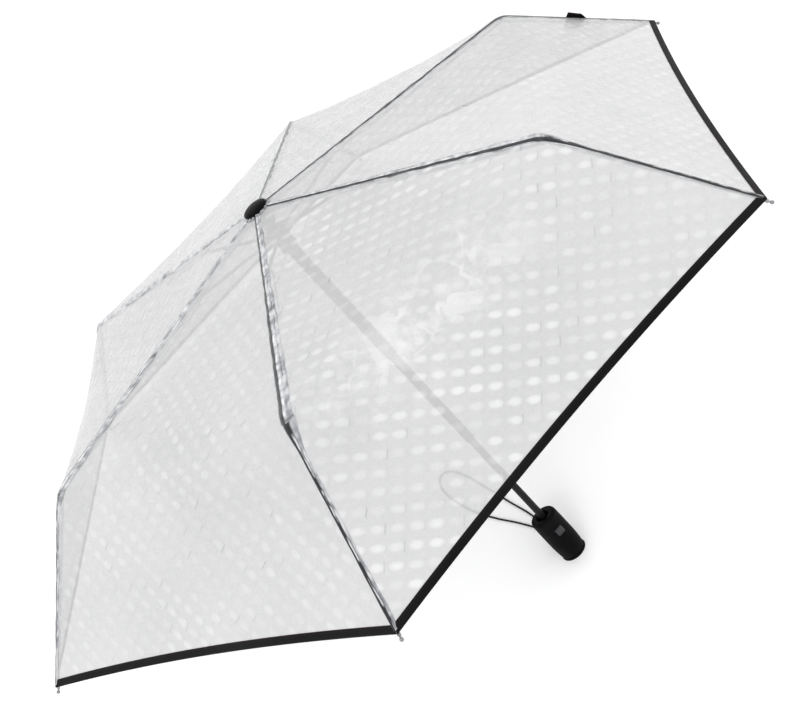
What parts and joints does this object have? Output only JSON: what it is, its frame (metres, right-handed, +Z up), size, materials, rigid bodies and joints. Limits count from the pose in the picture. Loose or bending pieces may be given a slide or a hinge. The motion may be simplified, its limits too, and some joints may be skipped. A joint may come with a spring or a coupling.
{
  "type": "folding umbrella",
  "caption": "Compact folding umbrella, open: hexagonal film canopy on jointed ribs, telescoping shaft, runner, and a short cylindrical grip with push button.",
  "frame": {"origin": "on the floor, under the middle of the open umbrella as it lies on its grip's rim and two rib tips", "axes": "+Z up from the floor, +Y from the grip towards the two tips that touch the floor, +X across the canopy; the shaft leans in the YZ plane"},
  "size_m": [0.9576, 0.6168, 0.5791],
  "materials": {
    "canopy_film": "satin",
    "rib_steel": "satin",
    "black_steel": "satin",
    "black_plastic": "satin",
    "grip_plastic": "matte",
    "button_plastic": "satin",
    "strap_cord": "matte",
    "black_tape": "matte"
  },
  "bodies": {
    "handle": {"grip_shell": "grip_plastic", "grip_collar": "black_plastic", "end_cap": "black_plastic", "lower_tube": "black_steel", "wrist_strap": "strap_cord"},
    "button": {"push_button": "button_plastic"},
    "middle_shaft": {"middle_tube": "black_steel"},
    "crown": {"upper_tube": "black_steel", "crown_notch": "black_plastic", "top_cap": "black_plastic"},
    "runner": {"runner": "black_plastic"},
    "rib_1_top": {"rib_1_top": "rib_steel", "canopy_1_inner": "canopy_film"},
    "rib_1_middle": {"rib_1_middle": "rib_steel", "canopy_1_middle": "canopy_film"},
    "rib_1_tail": {"rib_1_tail": "rib_steel", "canopy_1_outer": "canopy_film", "closing_strap": "black_tape"},
    "rib_1_stretcher": {"rib_1_stretcher": "black_steel"},
    "rib_1_link": {"rib_1_link": "rib_steel"},
    "rib_2_top": {"rib_2_top": "rib_steel", "canopy_2_inner": "canopy_film"},
    "rib_2_middle": {"rib_2_middle": "rib_steel", "canopy_2_middle": "canopy_film"},
    "rib_2_tail": {"rib_2_tail": "rib_steel", "canopy_2_outer": "canopy_film"},
    "rib_2_stretcher": {"rib_2_stretcher": "black_steel"},
    "rib_2_link": {"rib_2_link": "rib_steel"},
    "rib_3_top": {"rib_3_top": "rib_steel", "canopy_3_inner": "canopy_film"},
    "rib_3_middle": {"rib_3_middle": "rib_steel", "canopy_3_middle": "canopy_film"},
    "rib_3_tail": {"rib_3_tail": "rib_steel", "canopy_3_outer": "canopy_film"},
    "rib_3_stretcher": {"rib_3_stretcher": "black_steel"},
    "rib_3_link": {"rib_3_link": "rib_steel"},
    "rib_4_top": {"rib_4_top": "rib_steel", "canopy_4_inner": "canopy_film"},
    "rib_4_middle": {"rib_4_middle": "rib_steel", "canopy_4_middle": "canopy_film"},
    "rib_4_tail": {"rib_4_tail": "rib_steel", "canopy_4_outer": "canopy_film"},
    "rib_4_stretcher": {"rib_4_stretcher": "black_steel"},
    "rib_4_link": {"rib_4_link": "rib_steel"},
    "rib_5_top": {"rib_5_top": "rib_steel", "canopy_5_inner": "canopy_film"},
    "rib_5_middle": {"rib_5_middle": "rib_steel", "canopy_5_middle": "canopy_film"},
    "rib_5_tail": {"rib_5_tail": "rib_steel", "canopy_5_outer": "canopy_film"},
    "rib_5_stretcher": {"rib_5_stretcher": "black_steel"},
    "rib_5_link": {"rib_5_link": "rib_steel"},
    "rib_6_top": {"rib_6_top": "rib_steel", "canopy_6_inner": "canopy_film"},
    "rib_6_middle": {"rib_6_middle": "rib_steel", "canopy_6_middle": "canopy_film"},
    "rib_6_tail": {"rib_6_tail": "rib_steel", "canopy_6_outer": "canopy_film"},
    "rib_6_stretcher": {"rib_6_stretcher": "black_steel"},
    "rib_6_link": {"rib_6_link": "rib_steel"}
  },
  "joints": [
    {"name": "button_press", "type": "slide", "parent": "handle", "child": "button", "axis": [0, 0.7399, -0.6727], "range_m": [0, 0.0013], "stiffness_N_per_m": 400, "springref_m": -0.0015},
    {"name": "shaft_collapse", "type": "slide", "parent": "handle", "child": "middle_shaft", "axis": [0, -0.6727, -0.7399], "range_m": [0, 0.134]},
    {"name": "shaft_upper_collapse", "type": "slide", "parent": "middle_shaft", "child": "crown", "axis": [0, -0.6727, -0.7399], "range_m": [0, 0.134]},
    {"name": "runner_slide", "type": "slide", "parent": "crown", "child": "runner", "axis": [0, -0.6727, -0.7399], "range_m": [0, 0.15313]},
    {"name": "canopy_fold", "type": "hinge", "parent": "crown", "child": "rib_1_top", "pos_m": [0.012, 0.12457, 0.41676], "axis": [0, 0.7399, -0.6727], "range_deg": [0, 79.9], "deforming": ["canopy_1_inner", "canopy_1_middle", "canopy_1_outer", "canopy_2_inner", "canopy_2_middle", "canopy_2_outer", "canopy_3_inner", "canopy_3_middle", "canopy_3_outer", "canopy_4_inner", "canopy_4_middle", "canopy_4_outer", "canopy_5_inner", "canopy_5_middle", "canopy_5_outer", "canopy_6_inner", "canopy_6_middle", "canopy_6_outer", "closing_strap"]},
    {"name": "rib_1_stretcher_hinge", "type": "hinge", "parent": "rib_1_top", "child": "rib_1_stretcher", "pos_m": [0.10099, 0.11552, 0.4068], "axis": [0, 0.7399, -0.6727], "range_deg": [-159.85, 0]},
    {"name": "rib_1_middle_hinge", "type": "hinge", "parent": "rib_1_top", "child": "rib_1_middle", "pos_m": [0.172, 0.1083, 0.39886], "axis": [0, 0.7399, -0.6727], "range_deg": [-176.95, 0]},
    {"name": "rib_1_tail_hinge", "type": "hinge", "parent": "rib_1_middle", "child": "rib_1_tail", "pos_m": [0.331, 0.09213, 0.38107], "axis": [0, 0.7399, -0.6727], "range_deg": [0, 143.16]},
    {"name": "rib_1_link_hinge", "type": "hinge", "parent": "rib_1_middle", "child": "rib_1_link", "pos_m": [0.17899, 0.10568, 0.39598], "axis": [0, 0.7399, -0.6727], "range_deg": [0, 176.95]},
    {"name": "rib_2_fold", "type": "hinge", "parent": "crown", "child": "rib_2_top", "pos_m": [0.006, 0.13226, 0.40977], "axis": [-0.866, 0.37, -0.3363], "range_deg": [0, 79.95]},
    {"name": "rib_2_stretcher_hinge", "type": "hinge", "parent": "rib_2_top", "child": "rib_2_stretcher", "pos_m": [0.05049, 0.18023, 0.34797], "axis": [-0.866, 0.37, -0.3363], "range_deg": [-159.85, 0]},
    {"name": "rib_2_middle_hinge", "type": "hinge", "parent": "rib_2_top", "child": "rib_2_middle", "pos_m": [0.086, 0.21852, 0.29866], "axis": [-0.866, 0.37, -0.3363], "range_deg": [-176.95, 0]},
    {"name": "rib_2_tail_hinge", "type": "hinge", "parent": "rib_2_middle", "child": "rib_2_tail", "pos_m": [0.1655, 0.30423, 0.18825], "axis": [-0.866, 0.37, -0.3363], "range_deg": [0, 143.16]},
    {"name": "rib_2_link_hinge", "type": "hinge", "parent": "rib_2_middle", "child": "rib_2_link", "pos_m": [0.0895, 0.22038, 0.29171], "axis": [-0.866, 0.37, -0.3363], "range_deg": [0, 176.95]},
    {"name": "rib_3_fold", "type": "hinge", "parent": "crown", "child": "rib_3_top", "pos_m": [-0.006, 0.13226, 0.40977], "axis": [-0.866, -0.37, 0.3363], "range_deg": [0, 79.95]},
    {"name": "rib_3_stretcher_hinge", "type": "hinge", "parent": "rib_3_top", "child": "rib_3_stretcher", "pos_m": [-0.05049, 0.18023, 0.34797], "axis": [-0.866, -0.37, 0.3363], "range_deg": [-159.85, 0]},
    {"name": "rib_3_middle_hinge", "type": "hinge", "parent": "rib_3_top", "child": "rib_3_middle", "pos_m": [-0.086, 0.21852, 0.29866], "axis": [-0.866, -0.37, 0.3363], "range_deg": [-176.95, 0]},
    {"name": "rib_3_tail_hinge", "type": "hinge", "parent": "rib_3_middle", "child": "rib_3_tail", "pos_m": [-0.1655, 0.30423, 0.18825], "axis": [-0.866, -0.37, 0.3363], "range_deg": [0, 143.16]},
    {"name": "rib_3_link_hinge", "type": "hinge", "parent": "rib_3_middle", "child": "rib_3_link", "pos_m": [-0.0895, 0.22038, 0.29171], "axis": [-0.866, -0.37, 0.3363], "range_deg": [0, 176.95]},
    {"name": "rib_4_fold", "type": "hinge", "parent": "crown", "child": "rib_4_top", "pos_m": [-0.012, 0.12457, 0.41676], "axis": [0, -0.7399, 0.6727], "range_deg": [0, 79.95]},
    {"name": "rib_4_stretcher_hinge", "type": "hinge", "parent": "rib_4_top", "child": "rib_4_stretcher", "pos_m": [-0.10099, 0.11552, 0.4068], "axis": [0, -0.7399, 0.6727], "range_deg": [-159.85, 0]},
    {"name": "rib_4_middle_hinge", "type": "hinge", "parent": "rib_4_top", "child": "rib_4_middle", "pos_m": [-0.172, 0.1083, 0.39886], "axis": [0, -0.7399, 0.6727], "range_deg": [-176.95, 0]},
    {"name": "rib_4_tail_hinge", "type": "hinge", "parent": "rib_4_middle", "child": "rib_4_tail", "pos_m": [-0.331, 0.09213, 0.38107], "axis": [0, -0.7399, 0.6727], "range_deg": [0, 143.16]},
    {"name": "rib_4_link_hinge", "type": "hinge", "parent": "rib_4_middle", "child": "rib_4_link", "pos_m": [-0.17899, 0.10568, 0.39598], "axis": [0, -0.7399, 0.6727], "range_deg": [0, 176.95]},
    {"name": "rib_5_fold", "type": "hinge", "parent": "crown", "child": "rib_5_top", "pos_m": [-0.006, 0.11688, 0.42375], "axis": [0.866, -0.37, 0.3363], "range_deg": [0, 79.95]},
    {"name": "rib_5_stretcher_hinge", "type": "hinge", "parent": "rib_5_top", "child": "rib_5_stretcher", "pos_m": [-0.05049, 0.05081, 0.46564], "axis": [0.866, -0.37, 0.3363], "range_deg": [-159.85, 0]},
    {"name": "rib_5_middle_hinge", "type": "hinge", "parent": "rib_5_top", "child": "rib_5_middle", "pos_m": [-0.086, -0.00192, 0.49906], "axis": [0.866, -0.37, 0.3363], "range_deg": [-176.95, 0]},
    {"name": "rib_5_tail_hinge", "type": "hinge", "parent": "rib_5_middle", "child": "rib_5_tail", "pos_m": [-0.1655, -0.11998, 0.5739], "axis": [0.866, -0.37, 0.3363], "range_deg": [0, 143.16]},
    {"name": "rib_5_link_hinge", "type": "hinge", "parent": "rib_5_middle", "child": "rib_5_link", "pos_m": [-0.0895, -0.00902, 0.50025], "axis": [0.866, -0.37, 0.3363], "range_deg": [0, 176.95]},
    {"name": "rib_6_fold", "type": "hinge", "parent": "crown", "child": "rib_6_top", "pos_m": [0.006, 0.11688, 0.42375], "axis": [0.866, 0.37, -0.3363], "range_deg": [0, 79.95]},
    {"name": "rib_6_stretcher_hinge", "type": "hinge", "parent": "rib_6_top", "child": "rib_6_stretcher", "pos_m": [0.05049, 0.05081, 0.46564], "axis": [0.866, 0.37, -0.3363], "range_deg": [-159.85, 0]},
    {"name": "rib_6_middle_hinge", "type": "hinge", "parent": "rib_6_top", "child": "rib_6_middle", "pos_m": [0.086, -0.00192, 0.49906], "axis": [0.866, 0.37, -0.3363], "range_deg": [-176.95, 0]},
    {"name": "rib_6_tail_hinge", "type": "hinge", "parent": "rib_6_middle", "child": "rib_6_tail", "pos_m": [0.1655, -0.11998, 0.5739], "axis": [0.866, 0.37, -0.3363], "range_deg": [0, 143.16]},
    {"name": "rib_6_link_hinge", "type": "hinge", "parent": "rib_6_middle", "child": "rib_6_link", "pos_m": [0.0895, -0.00902, 0.50025], "axis": [0.866, 0.37, -0.3363], "range_deg": [0, 176.95]}
  ],
  "couplings": [
    {"joint": "shaft_upper_collapse", "follows": "shaft_collapse", "ratio": 1},
    {"joint": "runner_slide", "follows": "canopy_fold", "m_per_rad": 0.10973},
    {"joint": "rib_1_stretcher_hinge", "follows": "canopy_fold", "ratio": -2},
    {"joint": "rib_1_middle_hinge", "follows": "canopy_fold", "ratio": -2.214},
    {"joint": "rib_1_tail_hinge", "follows": "canopy_fold", "ratio": 1.7911},
    {"joint": "rib_1_link_hinge", "follows": "canopy_fold", "ratio": 2.214},
    {"joint": "rib_2_fold", "follows": "canopy_fold", "ratio": 1},
    {"joint": "rib_2_stretcher_hinge", "follows": "canopy_fold", "ratio": -2},
    {"joint": "rib_2_middle_hinge", "follows": "canopy_fold", "ratio": -2.214},
    {"joint": "rib_2_tail_hinge", "follows": "canopy_fold", "ratio": 1.7911},
    {"joint": "rib_2_link_hinge", "follows": "canopy_fold", "ratio": 2.214},
    {"joint": "rib_3_fold", "follows": "canopy_fold", "ratio": 1},
    {"joint": "rib_3_stretcher_hinge", "follows": "canopy_fold", "ratio": -2},
    {"joint": "rib_3_middle_hinge", "follows": "canopy_fold", "ratio": -2.214},
    {"joint": "rib_3_tail_hinge", "follows": "canopy_fold", "ratio": 1.7911},
    {"joint": "rib_3_link_hinge", "follows": "canopy_fold", "ratio": 2.214},
    {"joint": "rib_4_fold", "follows": "canopy_fold", "ratio": 1},
    {"joint": "rib_4_stretcher_hinge", "follows": "canopy_fold", "ratio": -2},
    {"joint": "rib_4_middle_hinge", "follows": "canopy_fold", "ratio": -2.214},
    {"joint": "rib_4_tail_hinge", "follows": "canopy_fold", "ratio": 1.7911},
    {"joint": "rib_4_link_hinge", "follows": "canopy_fold", "ratio": 2.214},
    {"joint": "rib_5_fold", "follows": "canopy_fold", "ratio": 1},
    {"joint": "rib_5_stretcher_hinge", "follows": "canopy_fold", "ratio": -2},
    {"joint": "rib_5_middle_hinge", "follows": "canopy_fold", "ratio": -2.214},
    {"joint": "rib_5_tail_hinge", "follows": "canopy_fold", "ratio": 1.7911},
    {"joint": "rib_5_link_hinge", "follows": "canopy_fold", "ratio": 2.214},
    {"joint": "rib_6_fold", "follows": "canopy_fold", "ratio": 1},
    {"joint": "rib_6_stretcher_hinge", "follows": "canopy_fold", "ratio": -2},
    {"joint": "rib_6_middle_hinge", "follows": "canopy_fold", "ratio": -2.214},
    {"joint": "rib_6_tail_hinge", "follows": "canopy_fold", "ratio": 1.7911},
    {"joint": "rib_6_link_hinge", "follows": "canopy_fold", "ratio": 2.214}
  ]
}
